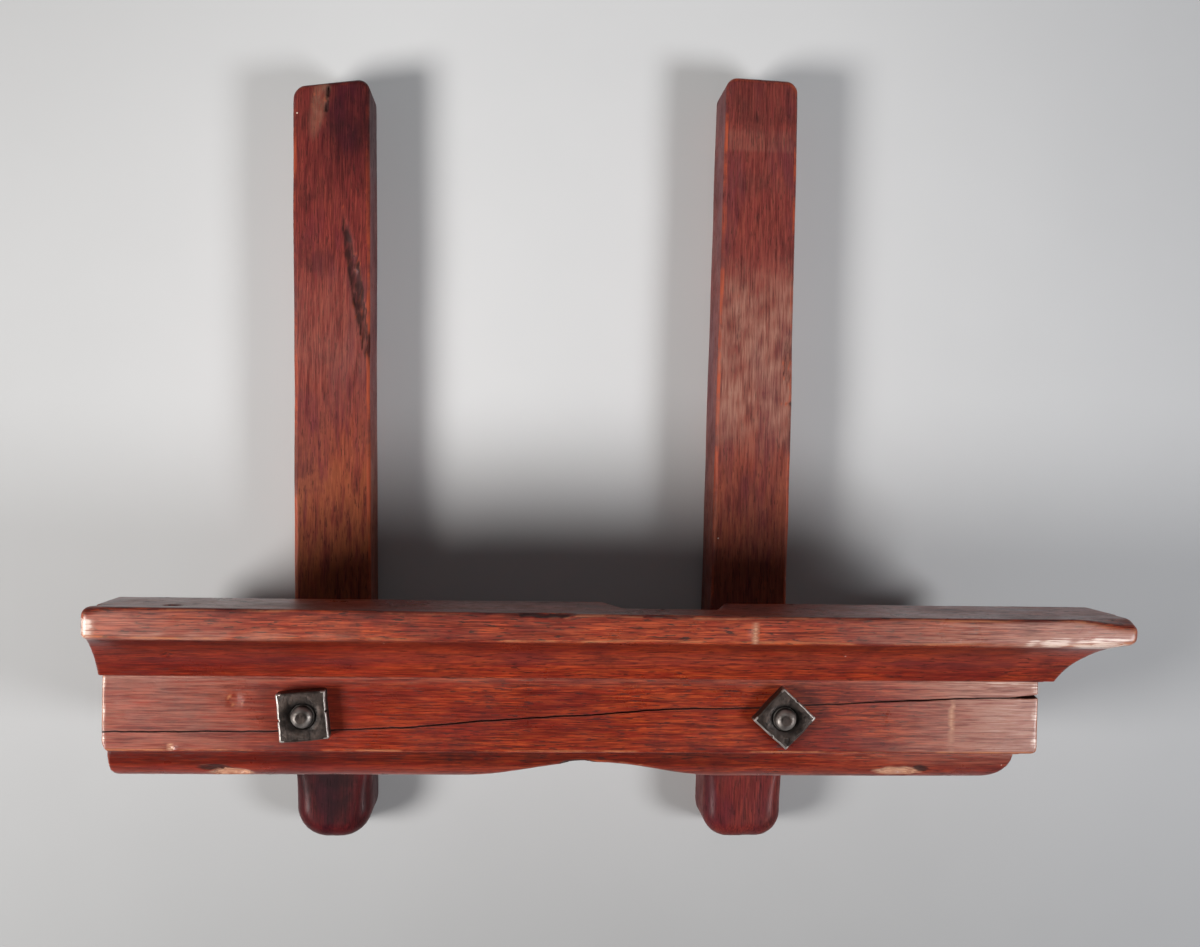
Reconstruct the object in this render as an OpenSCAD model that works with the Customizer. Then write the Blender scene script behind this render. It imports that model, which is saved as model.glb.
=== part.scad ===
// Fence and arms of a wooden plow plane: a moulded hardwood fence bolted
// across two square-section arms that slide through the plane's stock.
// X runs along the fence, +Y toward the arms' free ends, +Z from the arms
// up to the fence's moulded underside. The assembly lies on the arms' backs.

/* [Fence] */
// Length of the fence along the plane
fence_l = 254; // [220:1:280]
// Width of the fence from its bearing face to its outer edge
fence_w = 45.7; // [44:0.1:55]
// Height of the fence from the arms to the lip's near face
fence_h = 68.4; // [60:0.1:80]
// Height of the bearing face, along Z
lip_h = 29.7; // [25:0.1:35]
// Width of the flat face on top of the lip
lip_w = 7; // [6:0.1:8]
// How far the fence is set back below the bearing face
rabbet_w = 9; // [5:0.5:10]
// Radius of the fence's outer left corner
end_r = 3; // [2:0.5:6]

/* [Moulding] */
// Width of the cove beside the lip
cove_w = 10.85; // [9:0.05:11]
// Radius of the cove
cove_r = 19.4; // [17:0.1:25]
// Straight wall between the lip's face and the cove
cove_wall = 1.6; // [1:0.1:3]
// Depth of the cove's lower edge below the lip's face
cove_d = 14; // [12:0.1:15.6]
// Depth of the nut face below the lip's face
flat_d = 17.8; // [15.8:0.1:20]
// Width of the nut face
flat_w = 19.35; // [17:0.05:19.4]
// Depth below the lip at which the outer round starts
ovolo_d = 22.3; // [19:0.1:25]
// Radius of the outer round
ovolo_r = 8.5; // [7:0.1:8.5]

/* [Cut-outs] */
// Middle of the relief scooped from the outer edge, along X
relief_x = -5.5; // [-30:0.5:15]
// Width of the relief
relief_w = 62; // [30:1:70]
// Depth of the relief
relief_d = 4.9; // [2:0.1:6]
// Left end of the notch under the lip, along X
notch_x = 1.4; // [-20:0.1:2]
// Width of the notch
notch_w = 29; // [15:0.5:29]
// Depth of the notch behind the bearing face
notch_d = 8.5; // [4:0.5:9]
// Height of the notch up from the lip's lower edge
notch_h = 15.3; // [8:0.1:18]
// Diameter of the screw hole in the bearing face
screw_d = 4.2; // [3:0.1:5]
// Depth of the screw hole
screw_l = 6.5; // [4:0.5:7]
// Distance of the screw hole from the fence's left end
screw_x = 18.3; // [10:0.1:30]
// Distance of the screw hole below the lip's near face
screw_z = 10; // [8:0.1:13]

/* [Arms] */
// Thickness of the arms, along Z
arm_t = 20.3; // [18:0.1:23]
// Width of the left arm
arm_left_w = 21.8; // [20:0.1:24]
// Width of the right arm at its fence end
arm_right_w = 23.2; // [20:0.1:24]
// Width of the right arm at its free end
arm_right_tip_w = 21.4; // [19:0.1:24]
// Reach of the left arm beyond the bearing face
arm_left_reach = 144.6; // [120:0.1:149]
// Reach of the right arm beyond the bearing face
arm_right_reach = 149.2; // [148:0.1:155]
// Distance from the bearing face to the arms' short ends
arm_tail = 73.8; // [65:0.1:80]
// Angle of the left arm off square
arm_left_a = 1.1; // [0:0.1:2]
// Angle of the right arm off square
arm_right_a = -0.45; // [-2:0.05:0]
// Radius of the corners at the arms' short ends
arm_tail_r = 7.5; // [3:0.1:9]
// Radius of the corners at the arms' free ends
arm_tip_r = 3.5; // [2:0.1:6]

/* [Fastenings] */
// Place of the left bolt, along X
bolt_left_x = -77.8; // [-90:0.1:-60]
// Place of the right bolt, along X
bolt_right_x = 42.7; // [35:0.1:60]
// Distance of both bolts behind the bearing face
bolt_v = 27.5; // [27:0.1:28.5]
// Diameter of the bolts
bolt_d = 6; // [5:0.1:6.5]
// Diameter of the countersunk bolt heads
head_d = 12; // [10:0.5:13]
// Height of the bolt heads
head_h = 3.4; // [2.5:0.1:4.5]
// Width across the flats of the left nut
nut_left_w = 12.2; // [11:0.1:12.7]
// Width across the flats of the right nut
nut_right_w = 11.3; // [11:0.1:12.7]
// Thickness of the nuts
nut_t = 4.6; // [4:0.1:6]
// Turn of the left nut
nut_left_a = 5; // [0:1:90]
// Turn of the right nut
nut_right_a = 47; // [0:1:90]
// Radial running clearance on the bolts
play = 0.05; // [0.02:0.01:0.1]
// Gap between faces that are drawn together
gap = 0.1; // [0.05:0.05:0.3]

/* [Hidden] */
$fn = 96;
face_y = (arm_tail - arm_right_reach) / 2;  // bearing face, arms centred on Y
bolt_y = face_y - bolt_v;
top_z = arm_t + fence_h;                    // lip's near face
nut_z = top_z - flat_d;                     // face under the nuts
half_l = fence_l / 2;
flat_v = lip_w + cove_w;
ovolo_v = flat_v + flat_w;
chord = [cove_w, cove_d - cove_wall];
cove_c = [lip_w, cove_wall] + chord / 2
    + sqrt(cove_r * cove_r / (chord * chord) - 1 / 4) * [chord[1], -chord[0]];
relief_r = (relief_w * relief_w / 4 + relief_d * relief_d) / (2 * relief_d);
csk_gap = 0.3;
eps = 1;

// The moulding as a 2D outline: X is the distance from the bearing face and
// Y the depth below the lip. The right end of the fence is cut to the same
// outline, so it serves for the section and for the plan.
module moulding(depth) {
    difference() {
        square([fence_w, depth]);
        translate([lip_w, -eps]) square([fence_w, cove_wall + eps]);
        intersection() {
            translate(cove_c) circle(r = cove_r);
            translate([lip_w, 0]) square([cove_w, flat_d]);
        }
        translate([flat_v, -eps]) square([fence_w, flat_d + eps]);
        translate([ovolo_v, -eps]) difference() {
            square([fence_w, ovolo_d + ovolo_r + eps]);
            translate([fence_w - ovolo_v - ovolo_r, ovolo_d + ovolo_r + eps])
                circle(r = ovolo_r);
            translate([-eps, ovolo_d + eps])
                square([fence_w - ovolo_v - ovolo_r + eps, ovolo_r + eps]);
        }
    }
}

// Section of the fence extruded along X, rabbeted below the bearing face.
module fence_bar() {
    translate([-half_l, face_y, top_z]) rotate([-90, 0, -90])
        linear_extrude(fence_l) difference() {
            moulding(fence_h - gap);
            translate([-eps, lip_h]) square([rabbet_w + eps, fence_h]);
        }
}

// Plan of the fence, with the moulded right end and rounded outer left corner.
module fence_plan() {
    translate([half_l, face_y, top_z + eps]) rotate([180, 0, -90])
        linear_extrude(top_z + 2 * eps) difference() {
            moulding(fence_l);
            translate([fence_w - end_r, fence_l - end_r]) difference() {
                square(end_r + eps);
                circle(r = end_r);
            }
        }
}

module bolt_holes(d, z, h)
    for (x = [bolt_left_x, bolt_right_x])
        translate([x, bolt_y, z]) cylinder(d = d, h = h);

// Bar with four rounded corners, from y = -tail to y = tip, tapering in width.
module bar(w0, w1, tail, tip) {
    a = w0 / 2; b = w1 / 2; p = arm_tail_r; q = arm_tip_r;
    linear_extrude(arm_t) union() {
        polygon([[-a, p - tail], [p - a, -tail], [a - p, -tail], [a, p - tail],
                 [b, tip - q], [b - q, tip], [q - b, tip], [-b, tip - q]]);
        for (s = [-1, 1]) {
            translate([s * (a - p), p - tail]) circle(r = p);
            translate([s * (b - q), tip - q]) circle(r = q);
        }
    }
}

// Arm on its bolt: the bar, the bolt's hole and the countersink in its back.
module arm(x, angle, w0, w1, reach)
    translate([x, bolt_y, 0]) rotate([0, 0, angle]) difference() {
        bar(w0, w1, arm_tail - bolt_v, reach + bolt_v);
        translate([0, 0, -eps]) cylinder(r = bolt_d / 2 + play, h = arm_t + 2 * eps);
        translate([0, 0, -eps]) cylinder(d = head_d + 2 * csk_gap, h = eps + 2 * csk_gap);
        translate([0, 0, 2 * csk_gap])
            cylinder(r1 = head_d / 2 + csk_gap, r2 = bolt_d / 2 + csk_gap, h = head_h);
    }

// Countersunk bolt: slotted head flush in the arm's back, rounded upper end.
module bolt(x) {
    end_z = nut_z + gap + nut_t + 0.9;
    translate([x, bolt_y, 0]) difference() {
        union() {
            translate([0, 0, csk_gap]) cylinder(d = head_d, h = 0.4);
            translate([0, 0, csk_gap + 0.4])
                cylinder(d1 = head_d, d2 = bolt_d, h = head_h - 0.4);
            translate([0, 0, 1]) cylinder(d = bolt_d, h = end_z - 1);
            translate([0, 0, end_z]) cylinder(d1 = bolt_d, d2 = bolt_d - 1.4, h = 0.7);
        }
        translate([-head_d, -0.7, -eps]) cube([2 * head_d, 1.4, eps + csk_gap + 1.3]);
    }
}

// Square nut with its upper corners turned off, on the running bore.
module nut(x, w, angle)
    translate([x, bolt_y, nut_z + gap]) difference() {
        intersection() {
            rotate([0, 0, angle]) translate([-w / 2, -w / 2, 0]) cube([w, w, nut_t]);
            union() {
                cylinder(d = w * 1.5, h = nut_t - 1.1);
                translate([0, 0, nut_t - 1.1])
                    cylinder(d1 = w * 1.42, d2 = w * 1.18, h = 1.1);
            }
        }
        translate([0, 0, -eps]) cylinder(r = bolt_d / 2 + play, h = nut_t + 2 * eps);
    }

module fence() color([0.45, 0.20, 0.13]) difference() {
    intersection() {
        fence_bar();
        fence_plan();
    }
    // relief in the outer edge
    translate([relief_x, face_y - fence_w + relief_d - relief_r, 0])
        cylinder(r = relief_r, h = top_z + eps, $fn = 360);
    // notch up from the lip's lower edge, open to the front
    translate([notch_x, face_y - notch_d, top_z - lip_h - eps])
        cube([notch_w, notch_d + eps, notch_h + eps]);
    // screw hole
    translate([screw_x - half_l, face_y + eps, top_z - screw_z]) rotate([90, 0, 0])
        cylinder(d = screw_d, h = screw_l + eps, $fn = 48);
    bolt_holes(bolt_d + 2 * play, arm_t, fence_h);
}

module arm_left() color([0.33, 0.13, 0.10])
    arm(bolt_left_x, arm_left_a, arm_left_w, arm_left_w, arm_left_reach);

module arm_right() color([0.33, 0.13, 0.10])
    arm(bolt_right_x, arm_right_a, arm_right_w, arm_right_tip_w, arm_right_reach);

module bolt_left() color([0.25, 0.22, 0.20]) bolt(bolt_left_x);

module bolt_right() color([0.25, 0.22, 0.20]) bolt(bolt_right_x);

module nut_left() color([0.27, 0.23, 0.20]) nut(bolt_left_x, nut_left_w, nut_left_a);

module nut_right() color([0.27, 0.23, 0.20])
    nut(bolt_right_x, nut_right_w, nut_right_a);

fence();
arm_left();
arm_right();
bolt_left();
bolt_right();
nut_left();
nut_right();
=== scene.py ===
import math

import bpy
import numpy as np
from mathutils import Matrix, Vector


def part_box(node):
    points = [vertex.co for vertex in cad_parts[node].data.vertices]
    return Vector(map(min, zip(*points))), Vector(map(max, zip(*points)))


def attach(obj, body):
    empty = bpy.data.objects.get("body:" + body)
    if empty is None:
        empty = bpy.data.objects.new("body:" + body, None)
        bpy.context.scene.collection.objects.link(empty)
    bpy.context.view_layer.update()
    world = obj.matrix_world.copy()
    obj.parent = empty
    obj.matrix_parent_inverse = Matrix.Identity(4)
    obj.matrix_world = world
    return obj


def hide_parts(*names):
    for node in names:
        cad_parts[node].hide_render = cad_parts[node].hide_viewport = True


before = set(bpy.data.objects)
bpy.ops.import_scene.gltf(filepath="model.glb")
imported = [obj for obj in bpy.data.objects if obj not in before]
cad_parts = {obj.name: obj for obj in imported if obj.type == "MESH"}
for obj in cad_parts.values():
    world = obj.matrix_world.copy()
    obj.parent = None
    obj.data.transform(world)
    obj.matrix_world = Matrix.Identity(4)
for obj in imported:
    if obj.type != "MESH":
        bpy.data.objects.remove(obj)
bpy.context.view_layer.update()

# Sizes are in millimetres up to the point where a mesh is made.
MM = 0.001


def span(node):
    """Lowest and highest corner of a CAD node, in millimetres."""
    lo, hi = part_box(node)
    return np.array(lo) / MM, np.array(hi) / MM


fence_lo, fence_hi = span("fence")
LEFT, RIGHT = fence_lo[0], fence_hi[0]
FACE_Y, TOP_Z = fence_hi[1], fence_hi[2]
FENCE_W = fence_hi[1] - fence_lo[1]
FENCE_H = fence_hi[2] - fence_lo[2]

# The moulding, measured from the bearing face and down from the lip's face.
LIP_W = 7.0
LIP_H = 29.7
RABBET_W = 9.0
COVE_R = 19.4
COVE_W = 10.85
COVE_WALL, COVE_D = 1.6, 14.0
FLAT_D = 17.8
FLAT_W = 19.35
OVOLO_D = 22.3
OVOLO_R = 8.5
FLAT_V = LIP_W + COVE_W
OVOLO_V = FLAT_V + FLAT_W
CHORD = math.hypot(COVE_W, COVE_D - COVE_WALL)
COVE_OUT = math.sqrt(COVE_R**2 / CHORD**2 - 0.25)
COVE_CV = LIP_W + COVE_W / 2 + COVE_OUT * (COVE_D - COVE_WALL)
COVE_CT = (COVE_WALL + COVE_D) / 2 - COVE_OUT * COVE_W

# Relief in the outer edge, notch below the lip, screw hole.
RELIEF_X, RELIEF_HALF, RELIEF_D = -5.0, 33.5, 4.9
NOTCH_X, NOTCH_HALF, NOTCH_D, NOTCH_TOP = 13.2, 11.5, 8.5, 14.4
SCREW_X, SCREW_R, SCREW_D, SCREW_L = LEFT + 18.3, 2.1, 10.2, 6.5

# The visible ends before they are rounded and worn, the rounding of the left end's outer
# corner, the slant of the notch's ends and the depth of the crack.
LEFT_END, RIGHT_END = LEFT - 0.4, RIGHT + 0.6
END_R = 3.0
NOTCH_SLOPE = 0.3
CRACK_DEPTH = 2.6

# Bolts and bores, the countersinks in the arms' backs, and the slotted heads in them.
BOLT_R = 3.0
BORE_R = BOLT_R + 0.08
SINK_R, SINK_DEPTH = 6.3, 4.0
HEAD_R, HEAD_H, SLOT_HALF, SLOT_D = 6.0, 3.4, 0.7, 1.3

# Arms: half widths at the tail and the tip, turn off square in degrees, corner radii, and
# the seeds of their uneven wear.
ARM_T = span("arm_left")[1][2]
ARM_HALF = {"left": (10.9, 10.9), "right": (11.6, 10.7)}
ARM_TURN = {"left": 1.1, "right": -0.45}
TAIL_R = {"left": 9.0, "right": 7.5}
TIP_R = 3.5
SEED = {"left": 1.0, "right": 4.0}

# Nuts: half width, and turn in degrees.
NUT_HALF = {"left": 6.1, "right": 5.65}
NUT_TURN = {"left": 5, "right": 47}


# ---------------------------------------------------------------- shape tools


def both(a, b, r):
    """Where a and b are both negative, with the edge between them rounded to radius r."""
    return np.minimum(np.maximum(a, b), -r) + np.hypot(np.maximum(a + r, 0), np.maximum(b + r, 0))


def cut(a, b, r):
    """a with b taken out of it, its new edges rounded to radius r."""
    return both(a, -b, r)


def ease(x, low, high):
    """0 below low, 1 above high, and smooth between them."""
    t = np.clip((x - low) / (high - low), 0, 1)
    return t * t * (3 - 2 * t)


def wander(x, length, seed):
    """A slow irregular wave between about -1 and 1 along x."""
    u = x / length + seed * 7.31
    return (np.sin(u) + 0.6 * np.sin(1.93 * u + 1.1) + 0.4 * np.sin(3.71 * u + seed)) / 2


def lumps(x, y, z, size, seed):
    """Soft irregular lumps between about -1 and 1."""
    u, v, w = x / size + seed, y / size + 2.1 * seed, z / size - seed
    a = np.sin(u + 1.7 * np.sin(0.9 * v + seed)) * np.cos(1.3 * v + 0.8 * np.sin(1.1 * w))
    b = np.sin(2.3 * w + 1.2 * np.sin(1.9 * u)) * np.cos(2.7 * u - 1.9 * v)
    return 0.65 * a + 0.35 * b


def steps(start, *spans):
    """Grid positions from start, where each span is (its end, the spacing wanted)."""
    out = [np.array([start])]
    for end, spacing in spans:
        count = max(1, round((end - start) / spacing))
        out.append(np.linspace(start, end, count + 1)[1:])
        start = end
    return np.concatenate(out)


def ball(p, centre, radii):
    """Rough distance outside an ellipsoid."""
    q = [(a - c) / r for a, c, r in zip(p, centre, radii)]
    return (np.sqrt(q[0] ** 2 + q[1] ** 2 + q[2] ** 2) - 1) * min(radii)


def slope_of(field, p, h=0.03):
    """Gradient of the field at the points p."""
    out = np.empty_like(p)
    for axis in range(3):
        d = np.zeros(3)
        d[axis] = h
        out[:, axis] = (field(*(p + d).T) - field(*(p - d).T)) / (2 * h)
    return out


def net(field, xs, ys, zs, warp=None):
    """Points and quads of the closed surface where the field is zero: one point in each
    grid cell that the surface crosses, then pulled onto the surface."""
    at = np.stack(np.meshgrid(xs, ys, zs, indexing="ij"), -1)
    if warp:
        at = warp(at)
    f = field(at[..., 0], at[..., 1], at[..., 2])
    inside = f < 0
    cells = tuple(n - 1 for n in f.shape)
    size = math.prod(cells)
    total, count, quads = np.zeros((3, size)), np.zeros(size), []
    for axis in range(3):
        step = np.eye(3, dtype=int)[axis]
        low = tuple(slice(0, n - s) for n, s in zip(f.shape, step))
        high = tuple(slice(s, None) for s in step)
        edge = np.argwhere(inside[low] != inside[high])
        a, b = tuple(edge.T), tuple((edge + step).T)
        share = (f[a] / (f[a] - f[b]))[:, None]
        crossing = at[a] * (1 - share) + at[b] * share
        across, up = (axis + 1) % 3, (axis + 2) % 3
        ring = []
        for back_a, back_b in ((0, 0), (1, 0), (1, 1), (0, 1)):
            cell = edge.copy()
            cell[:, across] -= back_a
            cell[:, up] -= back_b
            ring.append(np.ravel_multi_index(cell.T, cells))
        for index in ring:
            count += np.bincount(index, minlength=size)
            for k in range(3):
                total[k] += np.bincount(index, crossing[:, k], size)
        ring = np.stack(ring, 1)
        quads.append(np.where(inside[a][:, None], ring, ring[:, ::-1]))
    used = count > 0
    points = (total[:, used] / count[used]).T
    for _ in range(3):
        g = slope_of(field, points)
        move = -(field(*points.T) / np.maximum((g * g).sum(1), 0.2))[:, None] * g
        length = np.linalg.norm(move, axis=1, keepdims=True)
        points += move * np.minimum(1, 0.25 / np.maximum(length, 1e-9))
    number = np.cumsum(used) - 1
    return points, number[np.concatenate(quads)]


def wear_of(field, p, crisp, outward):
    """How worn each point is, from 0 on a flat to 1 on an edge of radius crisp or less,
    and how sheltered it is, from the field a little way out."""
    h = 0.22
    around = sum(field(*(p + h * e).T) + field(*(p - h * e).T) for e in np.eye(3))
    bend = (around - 6 * field(*p.T)) / h**2
    n = slope_of(field, p)
    n /= np.maximum(np.linalg.norm(n, axis=1, keepdims=True), 1e-6)
    sheltered = 1 - field(*(p + n * outward).T) / outward
    return np.clip(bend * crisp, 0, 1), np.clip(sheltered, 0, 1)


def piece(name, points, quads, material, masks=None):
    """A smooth mesh object from points in millimetres, with a number per point for each mask."""
    mesh = bpy.data.meshes.new(name)
    mesh.from_pydata((points * MM).tolist(), [], quads.tolist())
    mesh.polygons.foreach_set("use_smooth", np.ones(len(mesh.polygons), dtype=bool))
    for key, values in (masks or {}).items():
        mask = mesh.attributes.new(key, "FLOAT", "POINT")
        mask.data.foreach_set("value", np.asarray(values, dtype=np.float32))
    mesh.materials.append(material)
    ob = bpy.data.objects.new(name, mesh)
    bpy.context.scene.collection.objects.link(ob)
    node = name.removesuffix("_body")
    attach(ob, node)
    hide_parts(node)
    return ob


# ---------------------------------------------------------------- materials


class Nodes:
    """Short calls for building a node material."""

    def __init__(self, name):
        self.material = bpy.data.materials.new(name)
        self.material.use_nodes = True
        self.tree = self.material.node_tree
        self.shader = self.tree.nodes["Principled BSDF"]
        self.object = self.tree.nodes.new("ShaderNodeTexCoord").outputs["Object"]

    def put(self, socket, value):
        if isinstance(value, bpy.types.NodeSocket):
            self.tree.links.new(value, socket)
        else:
            socket.default_value = value

    def mask(self, name):
        node = self.tree.nodes.new("ShaderNodeAttribute")
        node.attribute_name = name
        return node.outputs["Fac"]

    def stretched(self, scale, turn=0.0):
        node = self.tree.nodes.new("ShaderNodeMapping")
        self.put(node.inputs["Vector"], self.object)
        node.inputs["Rotation"].default_value = (0, 0, turn)
        node.inputs["Scale"].default_value = scale
        return node.outputs["Vector"]

    def noise(self, vector, detail=4.0, rough=0.55, scale=1.0, warp=0.0):
        node = self.tree.nodes.new("ShaderNodeTexNoise")
        self.put(node.inputs["Vector"], vector)
        node.inputs["Scale"].default_value = scale
        node.inputs["Detail"].default_value = detail
        node.inputs["Roughness"].default_value = rough
        node.inputs["Distortion"].default_value = warp
        return node.outputs["Fac"]

    def specks(self, scale):
        """Tiny round specks, only on the parts that a broad noise picks."""
        node = self.tree.nodes.new("ShaderNodeTexVoronoi")
        self.put(node.inputs["Vector"], self.object)
        node.inputs["Scale"].default_value = scale
        picked = self.span(self.noise(self.stretched((30, 30, 30)), 2), 0.50, 0.52)
        return self.calc("MULTIPLY", self.span(node.outputs["Distance"], 0.026, 0.016), picked)

    def span(self, value, low, high, to_low=0.0, to_high=1.0):
        node = self.tree.nodes.new("ShaderNodeMapRange")
        node.interpolation_type = "SMOOTHSTEP"
        self.put(node.inputs["Value"], value)
        node.inputs["From Min"].default_value = low
        node.inputs["From Max"].default_value = high
        node.inputs["To Min"].default_value = to_low
        node.inputs["To Max"].default_value = to_high
        return node.outputs["Result"]

    def calc(self, operation, a, b):
        node = self.tree.nodes.new("ShaderNodeMath")
        node.operation = operation
        self.put(node.inputs[0], a)
        self.put(node.inputs[1], b)
        return node.outputs[0]

    def mix(self, share, a, b, how="MIX"):
        node = self.tree.nodes.new("ShaderNodeMix")
        node.data_type, node.blend_type = "RGBA", how
        self.put(node.inputs["Factor"], share)
        self.put(node.inputs["A"], a)
        self.put(node.inputs["B"], b)
        return node.outputs["Result"]

    def bump(self, height, distance, strength=1.0, before=None):
        node = self.tree.nodes.new("ShaderNodeBump")
        self.put(node.inputs["Height"], height)
        node.inputs["Distance"].default_value = distance
        node.inputs["Strength"].default_value = strength
        if before:
            self.put(node.inputs["Normal"], before)
        return node.outputs["Normal"]


def grey(value):
    return (value, value, value, 1)


def scaled(colour, share):
    """A colour made darker or lighter."""
    return tuple(share * c for c in colour[:3]) + (1,)


# Metres to one unit of each grain pattern, along and across the grain.
BROAD_GRAIN, LINE_GRAIN = (0.036, 0.010), (0.009, 0.00034)
FIBRE_GRAIN, PORE_GRAIN = (0.005, 0.00024), (0.0034, 0.00042)
GRIME_SCALE, WAVE_SCALE = (60, 60, 60), (220, 220, 220)

GOLDEN = (0.26, 0.068, 0.024, 1)
# Colours of the dust with its painted sheen, and of the painted highlight on polished wear.
DUST_AND_SHEEN_COLOUR, POLISH_AND_HIGHLIGHT = (0.31, 0.145, 0.105, 1), (0.62, 0.47, 0.40, 1)
# Soot colours, also used for painted shade.
SOOT_SHADE_THIN, SOOT_SHADE_THICK = (0.42, 0.34, 0.50, 1), (0.16, 0.12, 0.20, 1)
# The colour of painted shade in hollows.
HOLLOW_SHADE = (0.018, 0.007, 0.006, 1)
RAW_PALE, RAW_TAN = (0.50, 0.27, 0.17, 1), (0.30, 0.13, 0.08, 1)
SPECK = (0.60, 0.48, 0.40, 1)

FENCE_LOOK = {
    "dark": (0.060, 0.0045, 0.003, 1), "middle": (0.185, 0.0145, 0.0055, 1),
    "light": (0.36, 0.052, 0.0115, 1), "worn": (0.40, 0.150, 0.070, 1),
    "figure": 1.0, "streaks": (0.018, 0.0010), "rough": (0.27, 0.42), "gloss": 0.28,
    "coat": 0.10,
}
ARM_LOOK = {
    "dark": (0.070, 0.0095, 0.0100, 1), "middle": (0.155, 0.020, 0.0175, 1),
    "light": (0.27, 0.045, 0.027, 1), "worn": (0.42, 0.075, 0.028, 1),
    "figure": 0.75, "streaks": (0.013, 0.0017), "rough": (0.36, 0.52), "gloss": 0.16,
    "coat": 0.02,
}


def wood(name, look, along, turn=0.0):
    """Old oiled hardwood with its grain along X (0) or Y (1), turned about Z."""
    n = Nodes(name)

    def grain(length, width):
        """Coordinates in which the grain is length by width metres to a unit."""
        scale = [1 / width] * 3
        scale[along] = 1 / length
        return n.stretched(tuple(scale), turn)

    maps = {
        "broad": n.noise(grain(*BROAD_GRAIN), 4, 0.55, warp=0.4),
        "streak": n.noise(grain(*look["streaks"]), 4, 0.62, warp=0.35),
        "line": n.noise(grain(*LINE_GRAIN), 3, 0.65, warp=0.2),
        "fibre": n.noise(grain(*FIBRE_GRAIN), 2, 0.6),
        "pore": n.span(n.noise(grain(*PORE_GRAIN), 2, 0.5), 0.59, 0.66),
        "grime": n.noise(n.stretched(GRIME_SCALE), 5, 0.65),
        "hollow": n.mask("hollow"),
    }
    colour = grain_colour(n, look, maps)
    n.put(n.shader.inputs["Base Color"], aged_colour(n, look, maps, colour))
    wood_finish(n, look, maps)
    return n.material


def grain_colour(n, look, maps):
    """Streaks, purple clouds, fine fibres and dark pores. The figure is plainer where the
    calm mask is 1 and stronger where it is -1. The tan mask turns the wood golden."""
    streak, figure, middle = maps["streak"], look["figure"], look["middle"]
    lively = n.span(n.mask("calm"), -1, 1, 1.6 * figure, 0.4 * figure)
    colour = n.mix(n.span(streak, 0.33, 0.62, 0.25, 1), look["dark"], middle)
    lines = n.calc("MULTIPLY", n.span(maps["line"], 0.42, 0.66, 0, 0.8), lively)
    colour = n.mix(lines, colour, look["light"])
    purple = tuple(0.55 * c for c in middle[:2]) + (1.2 * middle[2], 1)
    colour = n.mix(n.span(maps["broad"], 0.48, 0.64, 0, 0.62), colour, purple)
    golden = n.calc("MULTIPLY", n.mask("tan"), n.span(streak, 0.32, 0.62, 0.15, 0.9))
    colour = n.mix(golden, colour, GOLDEN)
    darker, lighter = grey(1 - 0.34 * figure), grey(1 + 0.28 * figure)
    colour = n.mix(1.0, colour, n.mix(n.span(maps["fibre"], 0.3, 0.7), darker, lighter), "MULTIPLY")
    flecks = n.calc("MULTIPLY", n.calc("MULTIPLY", maps["pore"], 0.75), lively)
    colour = n.mix(flecks, colour, scaled(look["dark"], 0.35))
    return n.mix(n.span(maps["grime"], 0.53, 0.70, 0, 0.5), colour, scaled(look["dark"], 0.7))


def aged_colour(n, look, maps, colour):
    """Dust with a painted sheen, painted highlights on polished wear, rubbed edges, soot with
    painted shade, dark hollows with painted shade, raw chips and pale specks.
    """
    streak, line, grime = maps["streak"], maps["line"], maps["grime"]
    # Painted sheen: the dust mask lightens the wood toward a pale dusty colour.
    dust_and_sheen_share = n.calc("MULTIPLY", n.mask("dust_and_sheen"), n.span(line, 0.32, 0.62, 0.34, 1.1))
    dust_and_sheen_share = n.calc("MULTIPLY", dust_and_sheen_share, n.span(streak, 0.34, 0.56, 0.62, 1.12))
    colour = n.mix(n.calc("MINIMUM", dust_and_sheen_share, 0.9), colour, DUST_AND_SHEEN_COLOUR)
    # Painted highlight: where the dust mask is over 1 the polished wear turns near white.
    colour = n.mix(n.span(dust_and_sheen_share, 0.95, 1.8), colour, POLISH_AND_HIGHLIGHT)
    rub = n.calc("MULTIPLY", n.span(n.mask("edge"), 0.35, 0.95), n.span(grime, 0.58, 0.42))
    rub = n.calc("MULTIPLY", rub, n.span(line, 0.30, 0.60, 0.45, 1.0))
    colour = n.mix(n.calc("MULTIPLY", rub, 0.85), colour, look["worn"])
    shade = n.mix(n.span(grime, 0.3, 0.7), SOOT_SHADE_THIN, SOOT_SHADE_THICK)
    # Soot darkens the wood, and on the fence's bearing face it is painted shade.
    colour = n.mix(n.mask("soot_and_shade"), colour, n.mix(1.0, colour, shade, "MULTIPLY"))
    # Painted shade: the hollow mask darkens recesses and creases, the crack and the dark chips.
    colour = n.mix(n.span(maps["hollow"], 0.2, 0.75, 0, 0.85), colour, HOLLOW_SHADE)
    colour = n.mix(n.mask("raw"), colour, n.mix(n.span(line, 0.4, 0.6), RAW_PALE, RAW_TAN))
    return n.mix(n.calc("MULTIPLY", n.specks(95), 0.8), colour, SPECK)


def wood_finish(n, look, maps):
    """Satin oil, duller in the pores and hollows, over a fine relief."""
    dull = n.span(maps["grime"], 0.35, 0.7, *look["rough"])
    dull = n.calc("ADD", dull, n.calc("MULTIPLY", maps["pore"], 0.2))
    dull = n.calc("ADD", dull, n.calc("MULTIPLY", maps["hollow"], 0.35))
    n.put(n.shader.inputs["Roughness"], dull)
    n.shader.inputs["Specular IOR Level"].default_value = look["gloss"]
    n.shader.inputs["Coat Weight"].default_value = look["coat"]
    n.shader.inputs["Coat Roughness"].default_value = 0.16
    relief = n.calc("SUBTRACT", n.calc("MULTIPLY", maps["fibre"], 0.5), maps["pore"])
    normal = n.bump(relief, 0.00004, 0.3 * look["figure"])
    normal = n.bump(n.noise(n.stretched(WAVE_SCALE), 3), 0.0003, 0.25, normal)
    n.put(n.shader.inputs["Normal"], normal)


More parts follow.
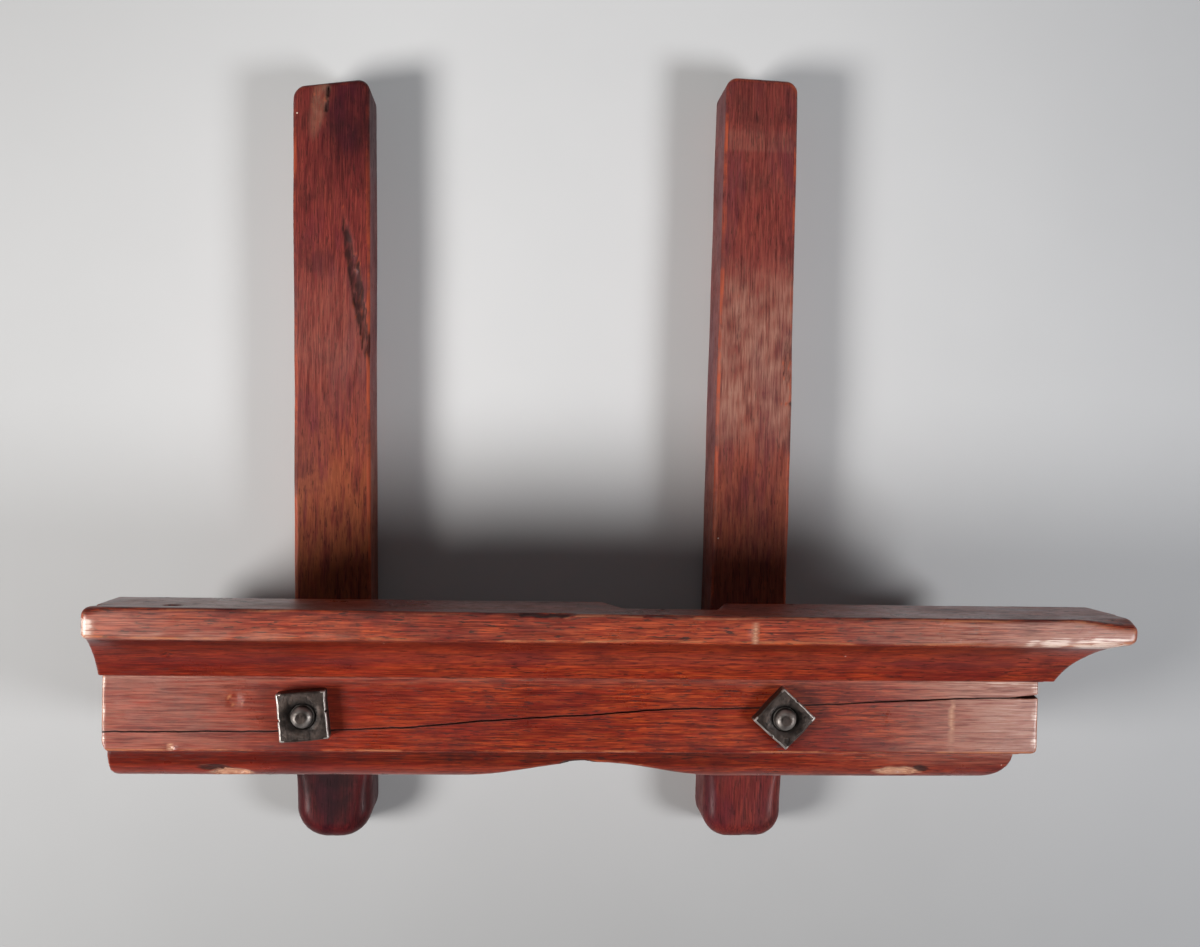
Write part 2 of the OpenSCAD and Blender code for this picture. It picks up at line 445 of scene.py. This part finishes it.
IRON_BLACK, IRON_GREY = (0.019, 0.014, 0.012, 1), (0.052, 0.038, 0.032, 1)
RUST, BRIGHT_IRON = (0.060, 0.032, 0.020, 1), (0.42, 0.38, 0.35, 1)
IRON_SHADE = (0.012, 0.010, 0.009, 1)
BLOTCH_SCALE, PIT_SCALE = (420, 420, 420), (1800, 1800, 1800)


def iron(name):
    """Dark hand-forged iron with rubbed edges, partly a painted highlight on the nuts."""
    n = Nodes(name)
    blotch = n.noise(n.stretched(BLOTCH_SCALE), 5, 0.6)
    pit = n.noise(n.stretched(PIT_SCALE), 3, 0.6)
    edge, hollow = n.mask("edge"), n.mask("hollow")
    colour = n.mix(n.span(blotch, 0.35, 0.65), IRON_BLACK, IRON_GREY)
    colour = n.mix(n.span(pit, 0.55, 0.7, 0, 0.5), colour, RUST)
    colour = n.mix(n.span(edge, 0.28, 0.62, 0, 0.8), colour, BRIGHT_IRON)
    colour = n.mix(n.span(hollow, 0.15, 0.6, 0, 0.9), colour, IRON_SHADE)
    n.put(n.shader.inputs["Base Color"], colour)
    n.shader.inputs["Metallic"].default_value = 0.75
    n.put(n.shader.inputs["Roughness"], n.span(blotch, 0.3, 0.7, 0.34, 0.56))
    normal = n.bump(blotch, 0.0005, 0.5)
    n.put(n.shader.inputs["Normal"], n.bump(pit, 0.00012, 0.6, normal))
    return n.material


fence_wood = wood("fence_wood", FENCE_LOOK, 0)
iron_dark = iron("aged_iron")


# ---------------------------------------------------------------- fence


CRACK_X = (-127, -80, -54, -29, -4, 16, 27, 51, 84, 110)
CRACK_V = (32.3, 31.9, 31.0, 28.8, 27.3, 25.7, 25.8, 24.6, 23.0, 22.2)


def crack_v(x):
    """Where the crack runs, from the bearing face."""
    return np.interp(x, CRACK_X, CRACK_V) + 0.10 * wander(x, 3.4, 3) + 0.05 * wander(x, 1.1, 5)


# The grid row that follows the crack, and how far to each side the grid bends with it.
CRACK_ROW = 27.0
CRACK_REACH_UP, CRACK_REACH_DOWN = 8.8, 9.8


def follow_crack(at):
    """Shears the grid across the nut face so that one row of it follows the crack."""
    row = at[..., 1]
    reach = np.where(row < CRACK_ROW, CRACK_REACH_UP, CRACK_REACH_DOWN)
    hold = np.clip(1 - np.abs(row - CRACK_ROW) / reach, 0, 1)
    hold = np.minimum(1, hold * 1.25)
    at[..., 1] = row + (crack_v(at[..., 0]) - CRACK_ROW) * hold
    return at


def moulding(v, t, lip_r, edge_r, drop=0.0):
    """The moulding as distances: v from the bearing face and t down from the lip.
    The cove sits lower by drop."""
    lip = both(v - LIP_W, -t, lip_r)
    hollow = COVE_R - np.hypot(v - COVE_CV, t - COVE_CT - drop)
    cove = both(np.maximum(v - FLAT_V, COVE_WALL + drop - t), hollow, 0.4)
    cove = both(cove, v - FLAT_V, 0.35)
    flat = both(v - OVOLO_V, FLAT_D - t, edge_r)
    outer = both(v - FENCE_W, OVOLO_D - t, OVOLO_R)
    return np.minimum(np.minimum(lip, cove), np.minimum(flat, outer))


# Chips and dents: centre (x, from the bearing face, down from the lip), radii, raw wood share.
CHIPS = (
    ((-97.3, 44.6, 25.6), (5.2, 1.9, 2.4), 1.0),
    ((-101.2, 42.9, 22.9), (4.6, 1.2, 2.0), 0.0),
    ((75.2, 43.9, 24.0), (6.8, 2.0, 2.2), 1.0),
    ((80.8, 43.1, 23.0), (2.8, 1.7, 1.8), 0.0),
    ((-8.8, 41.3, 23.3), (4.4, 1.3, 2.4), 0.0),
    ((-18.0, -0.2, 0.2), (7.4, 0.9, 1.3), 0.0),
    ((11.0, -0.3, 0.1), (7.6, 0.8, 1.1), 0.0),
    ((32.0, 4.6, -0.2), (0.6, 2.4, 0.6), 0.6),
    ((-44.2, 6.6, 0.0), (1.2, 0.6, 0.6), 0.0),
    ((-110.4, 36.2, 17.7), (0.5, 0.9, 0.5), 0.7),
    ((-109.6, 12.1, 9.6), (1.1, 0.9, 1.0), 0.0),
    ((-95.0, 24.4, 16.1), (3.4, 2.8, 2.1), 0.0),
    ((-62.0, 7.2, 0.4), (5.5, 0.5, 0.6), 0.0),
    ((88.0, 7.1, 0.4), (6.0, 0.5, 0.6), 0.0),
    ((87.3, 30.0, 17.6), (0.3, 5.0, 0.35), 0.5),
)
# The chips along the ovolo that are dark inside.
BLACK_CHIPS = tuple(chip for chip in CHIPS[:5] if not chip[2])


def chip_depth(x, v, d, only_raw=False):
    """Distance to the nearest chip's hollow, with broken irregular faces."""
    rough = 0.22 * lumps(x, v, d, 0.8, 4.0)
    out = np.full(np.shape(x), 50.0)
    for centre, radii, raw in CHIPS:
        if not only_raw or raw:
            out = np.minimum(out, ball((x, v, d), centre, radii) + rough * min(1, radii[1]))
    return out


def fence_outline(x, v, d):
    """The moulding between its two ends, with worn arrises and the relief in its outer edge."""
    nose = 1 - ease(v, 6.5, 11)
    lip_r = 1.15 + 0.35 * wander(x, 13, 0) + 0.9 * ease(x, 108, 125)
    section = moulding(v, d, lip_r, 0.75)
    plan = moulding(v, RIGHT_END - x, 2.9, 1.8, 1.3)
    f = both(section, plan, 0.5 + 1.0 * nose)
    f = both(f, LEFT_END - x, 0.5 + 1.0 * nose + 0.15 * wander(v, 3, 2))
    f = np.maximum(f, both(LEFT_END - x, v - FENCE_W, END_R))
    corner = both(LEFT_END - x, v - OVOLO_V - 1.5, 5.0)
    f = np.maximum(f, corner - 14.0 * ease(d, OVOLO_D - 1.4, OVOLO_D + 0.3))
    worn_tip = 1.4 * ease(x, 112, 126) * ease(5 - d, 0, 5)
    back = 0.7 * ease(60 - x, 0, 180) * ease(12 - d, 0, 12)
    arris = 0.8 + 0.3 * wander(x, 11, 6) + 0.8 * ease(x, 106, 124) + 1.3 * ease(-x, 121, 126)
    f = both(f, worn_tip - back - v, np.where(d < 12, arris, 0.8))
    f = both(f, d - FENCE_H, 0.8)
    swell = np.cos(np.clip(np.abs(x - RELIEF_X) / RELIEF_HALF, 0, 1) * math.pi / 2)
    return both(f, v - FENCE_W + RELIEF_D * swell**1.6, 0.7)


def crack_field(x, v, d):
    """The crack's groove, which narrows downwards and gapes at the right end."""
    gape = 0.06 + 0.03 * wander(x, 7, 8) + 0.09 * ease(x, -52, -34) * (1 - ease(x, 6, 24))
    gape = gape + 0.04 * ease(x, 60, 80) + 0.42 * ease(x, 100, 110)
    taper = np.clip(1 - (d - FLAT_D) / CRACK_DEPTH, 0, 1)
    return np.maximum(np.abs(v - crack_v(x)) - gape * taper, d - FLAT_D - CRACK_DEPTH)


def fence_field(x, v, d):
    f = fence_outline(x, v, d)
    f = cut(f, np.maximum(v - RABBET_W, LIP_H - d), 0.8)
    side = np.abs(x - NOTCH_X) - NOTCH_HALF - NOTCH_SLOPE * (d - NOTCH_TOP)
    f = cut(f, np.maximum(np.maximum(side, v - NOTCH_D), NOTCH_TOP - d), 0.5)
    screw = np.hypot(x - SCREW_X, d - SCREW_D) - SCREW_R
    f = cut(f, np.maximum(screw, v - SCREW_L), 0.25)
    for bolt_x in BOLTS.values():
        f = np.maximum(f, BORE_R - np.hypot(x - bolt_x, v - BOLT_V))
    f = np.maximum(f, -crack_field(x, v, d))
    f = np.maximum(f, -chip_depth(x, v, d))
    return f + 0.05 * lumps(x, v * 2, d * 2, 9.0, 1.0)


def centre_of(node):
    lo, hi = span(node)
    return (lo + hi) / 2


BOLTS = {side: centre_of("bolt_" + side)[0] for side in ("left", "right")}
BOLT_Y = centre_of("bolt_left")[1]
BOLT_V = FACE_Y - BOLT_Y


def fence_net():
    """The fence's surface, on a grid that is finest along its arrises, bores and crack."""
    xs = steps(LEFT - 1, (LEFT + 6, 0.5), (BOLTS["left"] - 4, 1.1), (BOLTS["left"] + 4, 0.8),
               (BOLTS["right"] - 4, 1.2), (BOLTS["right"] + 4, 0.8), (96, 1.2), (RIGHT + 1, 0.48))
    vs = steps(-0.8, (2.4, 0.36), (5.4, 0.75), (8.2, 0.35), (17.1, 0.62), (18.3, 0.3),
               (26, 0.86), (26.7, 0.23), (27.3, 0.1), (28, 0.23), (36.3, 0.92), (38.1, 0.36),
               (43.5, 0.6), (46.4, 0.42))
    ds = steps(-0.8, (3.2, 0.36), (14.8, 0.7), (17.2, 0.6), (18.4, 0.2), (21.2, 0.7),
               (24, 0.4), (29, 0.7), (31, 0.5), (66, 2.5), (FENCE_H + 0.6, 0.5))
    return net(fence_field, xs, vs, ds, follow_crack)


def fence_dust_and_sheen(x, v, d, up, on_flat, on_lip):
    """Dust and a painted sheen on the upward faces, and painted highlights on bare polished patches
    where it is over 1.
    """
    dust_and_sheen = on_flat * (0.95 * ease(x, 55, 104) + 0.35 * ease(-x, 76, 104))
    dust_and_sheen = dust_and_sheen + on_lip * (0.12 + 0.34 * ease(-x, 84, 116) + 0.75 * ease(x, 40, 105))
    dust_and_sheen = dust_and_sheen + 0.3 * (v > OVOLO_V) * ease(x, 45, 85)
    dust_and_sheen = up * (0.02 + dust_and_sheen + 0.22 * on_flat * ease(-v, -21, -18.6))
    patchy = 0.75 + 0.35 * wander(x + v, 2.3, 4)
    # Painted highlights along the lip's lower arris, at its left end and along the ends of the
    # flat.
    low_lip = np.clip(1.2 - np.abs(v - 6.2) / 2.4, 0, 1) * (d < 3)
    polish_highlight = low_lip * (2.8 * ease(x, 80, 114) + 0.8 * ease(-x, 30, 110)) * patchy
    polish_highlight = np.maximum(polish_highlight, 2.0 * ease(-x, 122.5, 126) * (v > 2) * (v < 6.6) * (d < 3))
    flat_end = RIGHT - FLAT_D
    ends = np.maximum(ease(-x, 126, 127), ease(x, flat_end - 1.6, flat_end - 0.8))
    on_rim = on_flat * (d < FLAT_D + 1.6) * (v > 18.5) * (x < RIGHT - 15)
    polish_highlight = np.maximum(polish_highlight, 2.0 * ends * on_rim * (0.6 + 0.4 * wander(v, 1.1, 2)))
    return np.clip(np.maximum(dust_and_sheen, polish_highlight), 0, 2)


def fence_soot_and_shade(x, v, d, up, on_lip):
    """Grime on the ovolo, darkening along the lip's near arris and in the cove, and painted shade
    on the left part of the bearing face.
    """
    soot_and_shade = 0.75 * (v > OVOLO_V) * (1 - ease(x, 10, 70)) * up
    # Painted shade on the bearing face, which faces away from the lamps.
    soot_and_shade = np.maximum(soot_and_shade, 0.35 * (v < 0.5) * (d < LIP_H) * (1 - ease(x, 30, 80)))
    soot_and_shade = np.maximum(soot_and_shade, 0.7 * on_lip * ease(-v, -1.7, -0.5) * (0.6 + 0.4 * wander(x, 5, 7)))
    in_cove = (v > LIP_W + 0.3) & (v < FLAT_V - 0.2) & (d > 1.5) & (d < FLAT_D)
    soot_and_shade = np.maximum(soot_and_shade, in_cove * (0.25 * ease(-x, 60, 100) + 0.4 * ease(-v, -10.5, -7.5)))
    return np.clip(soot_and_shade, 0, 1)


def make_fence():
    points, quads = fence_net()
    x, v, d = points.T
    edge, hollow = wear_of(fence_field, points, 0.85, 1.3)
    raw = np.clip(1 - chip_depth(x, v, d, True) / 0.25, 0, 1)
    for centre, radii, _ in BLACK_CHIPS:
        dark_chip = np.clip(1 - ball((x, v, d), centre, radii) / 0.5, 0, 1)
        hollow = np.maximum(hollow, 0.8 * dark_chip)
        raw = raw * (1 - 0.85 * dark_chip)
    off_crack = np.abs(v - crack_v(x))
    in_crack = (1 - np.clip(off_crack / 0.45, 0, 1)) * (d > FLAT_D - 0.6) * (d < FLAT_D + 3)
    hollow = np.maximum(hollow, in_crack)
    n = slope_of(fence_field, points)
    up = ease(-n[:, 2] / np.maximum(np.linalg.norm(n, axis=1), 1e-6), 0.75, 0.98)
    on_flat = (v > FLAT_V - 0.3) & (v < OVOLO_V + 0.2)
    on_lip = (v < LIP_W + 0.9) & (d < 2.5)
    beside = np.clip((off_crack - 0.4) / 1.4, 0, 1)
    edge = edge * np.where(on_flat & (x < 100), beside, 1) * np.where(up > 0.1, 1, 0.5)
    masks = {
        "edge": edge, "hollow": hollow * (1 - raw), "raw": raw,
        "dust_and_sheen": fence_dust_and_sheen(x, v, d, up, on_flat, on_lip),
        "soot_and_shade": fence_soot_and_shade(x, v, d, up, on_lip),
        "calm": np.where(v < LIP_W + 0.9, -0.8, ease(-x, 30, 84)),
    }
    placed = np.stack((x, FACE_Y - v, TOP_Z - d), 1)
    return piece("fence_body", placed, quads, fence_wood, masks)


# ---------------------------------------------------------------- arms


def arm_shape(side):
    """Field of one arm in its own coordinates: across, along from the bolt, and up. Also its
    reach to the tail and to the tip."""
    lo, hi = span("arm_" + side)
    tail = BOLT_Y - lo[1]
    tip = hi[1] - BOLT_Y
    wide, narrow = ARM_HALF[side]
    seed = SEED[side]

    def field(t, s, z):
        half = wide + (narrow - wide) * (s + tail) / (tip + tail) + 0.12 * wander(s, 21, seed)
        end = tip + 0.8 - (0.115 * (10 - t) if side == "left" else 0.02 * (t + 10))
        f = both(np.abs(t) - half, s - end, TIP_R)
        f = both(f, -tail - s, TAIL_R[side])
        worn = 1.1 + 0.35 * wander(s, 12, seed + np.sign(t)) + 0.4 * ease(s, tip - 14, tip)
        f = both(f, z - ARM_T, worn + 3.6 * ease(-s, tail - 30, tail - 10))
        f = both(f, -z, 1.1)
        f = np.maximum(f, BORE_R - np.hypot(t, s))
        sink = np.hypot(t, s) - np.clip(SINK_R - np.maximum(z - 0.6, 0) * 0.88, 0, SINK_R)
        f = np.maximum(f, -np.maximum(sink, z - SINK_DEPTH))
        for chip in ARM_CHIPS[side]:
            rough = 0.3 * lumps(t, s * 0.4, z, 0.8, seed)
            f = np.maximum(f, -(arm_chip(chip, t, s, z) + rough))
        return f + 0.07 * lumps(t, s * 0.5, z, 6.0, seed)

    return field, tail, tip


# Centre (across, along from the bolt, above the arm's face), radii, lean, raw wood share.
ARM_CHIPS = {
    "left": (
        ((-2.6, 170.5, 0.7), (2.3, 14.0, 1.3), 0.17, 0.20),
        ((-0.9, 168.5, 0.1), (0.35, 4.5, 0.9), 0.10, 0.0),
        ((6.4, 115.0, 0.1), (1.3, 15.0, 0.7), -0.16, 0.0),
        ((8.2, 108.0, 0.1), (1.2, 12.0, 0.7), -0.10, 0.0),
        ((10.8, 95.0, -0.2), (0.5, 4.0, 0.8), 0.0, 0.0),
    ),
    "right": (
        ((-5.2, 106.0, 0.2), (0.7, 6.5, 0.5), 0.0, 0.0),
        ((10.6, 82.0, -0.2), (1.8, 0.5, 0.8), 0.0, 0.0),
        ((9.9, 96.0, 0.2), (1.6, 7.0, 0.6), 0.0, 0.0),
        ((-10.9, 140.0, -0.2), (0.5, 7.0, 0.8), 0.0, 0.0),
    ),
}


def arm_chip(chip, t, s, z):
    """Distance to the hollow of one of the arm's chips."""
    centre, radii, lean, _ = chip
    return ball((t - lean * (s - centre[1]), s, z - ARM_T), centre, radii)


def arm_chip_masks(side, t, s, z, hollow):
    """Raw wood in the splinter, and the hollow mask with the broken chips made dark."""
    depth = 0.85 if side == "left" else 0.45
    broken = 0.75 + 0.45 * lumps(t, s * 0.45, z, 0.9, 2)
    raw = np.zeros(len(t))
    for chip in ARM_CHIPS[side]:
        raw_share = chip[3]
        in_chip = np.clip(1 - arm_chip(chip, t, s, z) / 0.4, 0, 1)
        raw = np.maximum(raw, raw_share * in_chip)
        if not raw_share:
            hollow = np.maximum(hollow, depth * in_chip * broken)
    return raw, hollow * (1 - raw)


def arm_dust_sheen_and_soot(side, t, s, z):
    """Dust is strongest on the right arm, with a painted sheen over its middle, and grime toward
    the left arm's tip and tail.
    """
    face = ease(z, ARM_T - 1.2, ARM_T - 0.4) * ease(s, -14, -4)
    if side == "left":
        dust_and_sheen = face * (0.04 + 0.18 * ease(s, 70, 95) * ease(-s, -125, -105))
        stain = ease(s + 3 * wander(t, 4, 2), 135, 158) * ease(t, -4, 3)
        soot_and_shade = 0.35 * ease(s, 118, 150) + 0.5 * stain + 1.0 * ease(-s, 6, 22)
    else:
        # Painted sheen over the middle of the right arm.
        painted_sheen = ease(s, 62, 84) * ease(-s, -128, -108)
        band = ease(s, 155.5, 156.5) * ease(-s, -163, -161)
        dust_and_sheen = face * (0.12 + 0.95 * painted_sheen * (0.6 + 0.4 * lumps(t, s, z, 2.6, 3)) + 0.13 * band)
        soot_and_shade = 0.35 * ease(-s, 6, 22) + 0.2 * ease(s, 163, 165)
    return dust_and_sheen, np.clip(soot_and_shade, 0, 1)


def turned(side, x, y, z, angle):
    """Points in the fence's frame, from points about the bolt's axis turned by angle."""
    c, w = math.cos(angle), math.sin(angle)
    return np.stack((BOLTS[side] + x * c - y * w, BOLT_Y + x * w + y * c, z), 1)


def make_arm(side):
    field, tail, tip = arm_shape(side)
    angle = math.radians(ARM_TURN[side])
    material = wood(f"arm_wood_{side}", ARM_LOOK, 1, -angle)
    ts = steps(-12.6, (-8, 0.36), (-3.6, 0.8), (3.6, 0.72), (8, 0.8), (12.6, 0.36))
    ss = steps(-tail - 1, (-tail + 10, 0.5), (-6.6, 1.5), (6.6, 0.75), (tip - 22, 1.5),
               (tip + 1, 0.5))
    zs = steps(-0.8, (2.0, 0.36), (4.2, 0.6), (ARM_T - 4, 1.6), (ARM_T + 0.8, 0.36))
    points, quads = net(field, ts, ss, zs)
    t, s, z = points.T
    edge, hollow = wear_of(field, points, 0.95, 1.3)
    raw, hollow = arm_chip_masks(side, t, s, z, hollow)
    dust_and_sheen, soot_and_shade = arm_dust_sheen_and_soot(side, t, s, z)
    tan = ease(-s, -98 - 8 * wander(t, 3, SEED[side]), -42) * ease(s, -8, 4)
    tan = tan * (1 if side == "left" else 0.55)
    masks = {"edge": edge, "hollow": hollow, "raw": raw, "dust_and_sheen": dust_and_sheen, "soot_and_shade": soot_and_shade, "tan": tan}
    placed = turned(side, t, s, z, angle)
    return piece(f"arm_{side}_body", placed, quads, material, masks)


# ---------------------------------------------------------------- iron


def make_nut(side):
    lo, hi = span("nut_" + side)
    seat, height = lo[2], hi[2] - lo[2]
    wide, turn = NUT_HALF[side], NUT_TURN[side]

    def field(x, y, z):
        skew = 0.035 * y + 0.12 * np.sin(x * 0.4 + wide)
        a = np.abs(x + skew * 0.5) - wide + 0.10 * wander(y, 2.1, wide)
        b = np.abs(y) - wide + 0.12 * wander(x, 1.9, turn)
        f = both(a, b, 0.35)
        r = np.hypot(x, y)
        crown = height - 0.15 - 0.007 * r * r - 0.45 * np.exp(-((r - 2.9) / 1.3) ** 2)
        crown = crown + 0.06 * lumps(x, y, z, 1.6, turn)
        f = both(f, z - crown, 0.45)
        f = both(f, -z, 0.3)
        f = cut(f, r - BOLT_R - 0.12, 0.35)
        for place, lean in ((wide, 0.9), (-wide, -0.6)):
            notch = np.hypot(x - place, (y - lean) * 1.6) - 0.5
            f = np.maximum(f, -np.maximum(notch, height * 0.45 - z))
        return f

    xs = steps(-wide - 0.8, (-wide + 1.2, 0.2), (wide - 1.2, 0.3), (wide + 0.8, 0.2))
    zs = steps(-0.4, (0.8, 0.25), (height - 1.4, 0.5), (height + 0.4, 0.2))
    points, quads = net(field, xs, xs, zs)
    edge, hollow = wear_of(field, points, 0.45, 0.5)
    x, y, z = points.T
    placed = turned(side, x, y, seat + z, math.radians(turn))
    # Painted shade: a dark ring on the nut's face around the bolt's end.
    ring_shade = np.clip(1.15 - (np.hypot(x, y) - 2.7) / 1.9, 0, 0.7)
    ring_shade = ring_shade * (0.7 + 0.3 * wander(x + y, 1.7, 1))
    # Rubbed edges, brightest on two sides and the top half: partly a painted highlight.
    lit_sides = np.where(np.abs(x) > wide - 1.2, 1, 0.35) * (z > height * 0.5)
    masks = {"edge": edge * lit_sides, "hollow": np.maximum(hollow, ring_shade)}
    return piece(f"nut_{side}_body", placed, quads, iron_dark, masks)


def make_bolt(side):
    lo, hi = span("bolt_" + side)
    head, top = lo[2], hi[2]

    def field(x, y, z):
        r = np.hypot(x, y)
        neck = 0.06 + 0.3 * ease(z, top - 2.6, top - 2.0)
        shank = both(r - BOLT_R + neck, z - top, 1.5)
        slant = np.clip(HEAD_R - np.maximum(z - head - 0.4, 0), 0, HEAD_R)
        cone = both(r - slant, z - head - HEAD_H, 0.1)
        f = np.maximum(np.minimum(shank, cone), head - z)
        f = f + 0.10 * lumps(x, y, z, 2.4, 2.0) * ease(z, top - 2.4, top - 1.2)
        slot = np.maximum(np.abs(y) - SLOT_HALF, z - head - SLOT_D)
        return cut(f, slot, 0.12)

    across = steps(-6.5, (-3.4, 0.4), (3.4, 0.24), (6.5, 0.4))
    zs = steps(head - 0.5, (head + 4.2, 0.3), (top - 4, 2.5), (top + 0.5, 0.22))
    points, quads = net(field, across, across, zs)
    edge, hollow = wear_of(field, points, 0.45, 0.5)
    placed = points + np.array((BOLTS[side], BOLT_Y, 0))
    masks = {"edge": edge, "hollow": hollow}
    return piece(f"bolt_{side}_body", placed, quads, iron_dark, masks)


make_fence()
for side in ("left", "right"):
    make_arm(side)
    make_nut(side)
    make_bolt(side)


# ---------------------------------------------------------------- floor, light, camera


# Floor: half size in metres, paper brightness, painted darker toward the front and the sides as
# light falloff, and the colour of the pale surroundings.
FLOOR_HALF = 8.0
PAPER_FRONT_SHADED, PAPER_BACK_LIT = grey(0.34), grey(0.60)
PAPER_LEFT_SHADED, PAPER_RIGHT_SHADED = grey(0.35), (0.328, 0.332, 0.345, 1)
ROOM = (0.9, 0.93, 1.0, 1)
FAR_GLOW, HORIZON_GLOW, SKY_GLOW = 0.5, 0.55, 0.06


def make_floor():
    """A pale paper floor. Outside the camera's view it glows softly, so low views of the
    sides keep a pale background."""
    mesh = bpy.data.meshes.new("floor")
    h = FLOOR_HALF
    mesh.from_pydata([(-h, -h, 0), (h, -h, 0), (h, h, 0), (-h, h, 0)], [], [(0, 1, 2, 3)])
    n = Nodes("paper")
    cloud = n.noise(n.stretched((9, 9, 9)), 4, 0.6)
    split = n.tree.nodes.new("ShaderNodeSeparateXYZ")
    n.put(split.inputs[0], n.object)
    # Painted light falloff: the paper is darker toward the front, the left and the right.
    paper = n.mix(n.span(split.outputs["Y"], -0.20, 0.06), PAPER_FRONT_SHADED, PAPER_BACK_LIT)
    paper = n.mix(n.span(split.outputs["X"], -0.03, -0.22, 0, 0.62), paper, PAPER_LEFT_SHADED)
    paper = n.mix(n.span(split.outputs["X"], 0.04, 0.25, 0, 0.58), paper, PAPER_RIGHT_SHADED)
    tone = n.mix(n.span(cloud, 0.3, 0.7), grey(0.97), grey(1.0))
    n.put(n.shader.inputs["Base Color"], n.mix(1.0, paper, tone, "MULTIPLY"))
    n.shader.inputs["Roughness"].default_value = 0.85
    reach = n.tree.nodes.new("ShaderNodeVectorMath")
    reach.operation = "LENGTH"
    n.put(reach.inputs[0], n.object)
    n.shader.inputs["Emission Color"].default_value = ROOM
    glow = n.span(reach.outputs["Value"], 0.40, 1.15, 0, FAR_GLOW)
    n.put(n.shader.inputs["Emission Strength"], glow)
    mesh.materials.append(n.material)
    floor = bpy.data.objects.new("floor", mesh)
    bpy.context.scene.collection.objects.link(floor)


def area_light(name, place, target, size, power, colour):
    lamp = bpy.data.lights.new(name, "AREA")
    lamp.shape, lamp.size, lamp.energy, lamp.color = "DISK", size, power, colour
    ob = bpy.data.objects.new(name, lamp)
    ob.location = place
    ob.rotation_mode = "QUATERNION"
    ob.rotation_quaternion = (Vector(target) - Vector(place)).to_track_quat("-Z", "Y")
    bpy.context.scene.collection.objects.link(ob)


# Lamps: place and target in metres, size, power in watts, colour.
LAMPS = {
    "lamp_left": ((-0.45, -0.15, 0.44), (0, 0.35, 0), 0.22, 4.7, (1.0, 0.985, 0.965)),
    "lamp_right": ((0.48, -0.19, 0.55), (0, 0.35, 0), 0.24, 4.0, (0.97, 0.98, 1.0)),
    "overhead": ((0.0, 0.60, 1.1), (0, 0.05, 0), 0.5, 0.45, (1.0, 1.0, 1.0)),
}


def make_room():
    """Faint light from all round, palest at the horizon."""
    world = bpy.data.worlds.new("room")
    world.use_nodes = True
    tree = world.node_tree
    split = tree.nodes.new("ShaderNodeSeparateXYZ")
    tree.links.new(tree.nodes.new("ShaderNodeTexCoord").outputs["Generated"], split.inputs[0])
    fade = tree.nodes.new("ShaderNodeMapRange")
    tree.links.new(split.outputs["Z"], fade.inputs["Value"])
    fade.inputs["From Min"].default_value = 0.0
    fade.inputs["From Max"].default_value = 0.2
    fade.inputs["To Min"].default_value = HORIZON_GLOW
    fade.inputs["To Max"].default_value = SKY_GLOW
    tree.nodes["Background"].inputs["Color"].default_value = ROOM
    tree.links.new(fade.outputs["Result"], tree.nodes["Background"].inputs["Strength"])
    bpy.context.scene.world = world


# Camera: place in millimetres from the bearing face and the lip, turns in radians, lens.
CAMERA_X, CAMERA_PAST_FACE, CAMERA_ABOVE_LIP = -26.35, 37.0, 310.2
CAMERA_PAN, CAMERA_TILT, CAMERA_ROLL = -0.065, -0.010, 0.018
CAMERA_LENS, CAMERA_SENSOR = 39.0, 36.0


def make_camera():
    """Looks down on the nuts from above the arms, a little left of the middle."""
    data = bpy.data.cameras.new("camera")
    data.sensor_fit = "HORIZONTAL"
    data.lens, data.sensor_width = CAMERA_LENS, CAMERA_SENSOR
    data.clip_start, data.clip_end = 0.01, 20
    cam = bpy.data.objects.new("camera", data)
    turn = (Matrix.Rotation(CAMERA_PAN, 4, "Y") @ Matrix.Rotation(CAMERA_TILT, 4, "X")
            @ Matrix.Rotation(CAMERA_ROLL, 4, "Z"))
    place = Vector((CAMERA_X, FACE_Y + CAMERA_PAST_FACE, TOP_Z + CAMERA_ABOVE_LIP)) * MM
    cam.matrix_world = Matrix.Translation(place) @ turn
    bpy.context.scene.collection.objects.link(cam)
    bpy.context.scene.camera = cam


make_floor()
for lamp_name, lamp_values in LAMPS.items():
    area_light(lamp_name, *lamp_values)
make_room()
make_camera()
bpy.context.scene.view_settings.view_transform = "Standard"
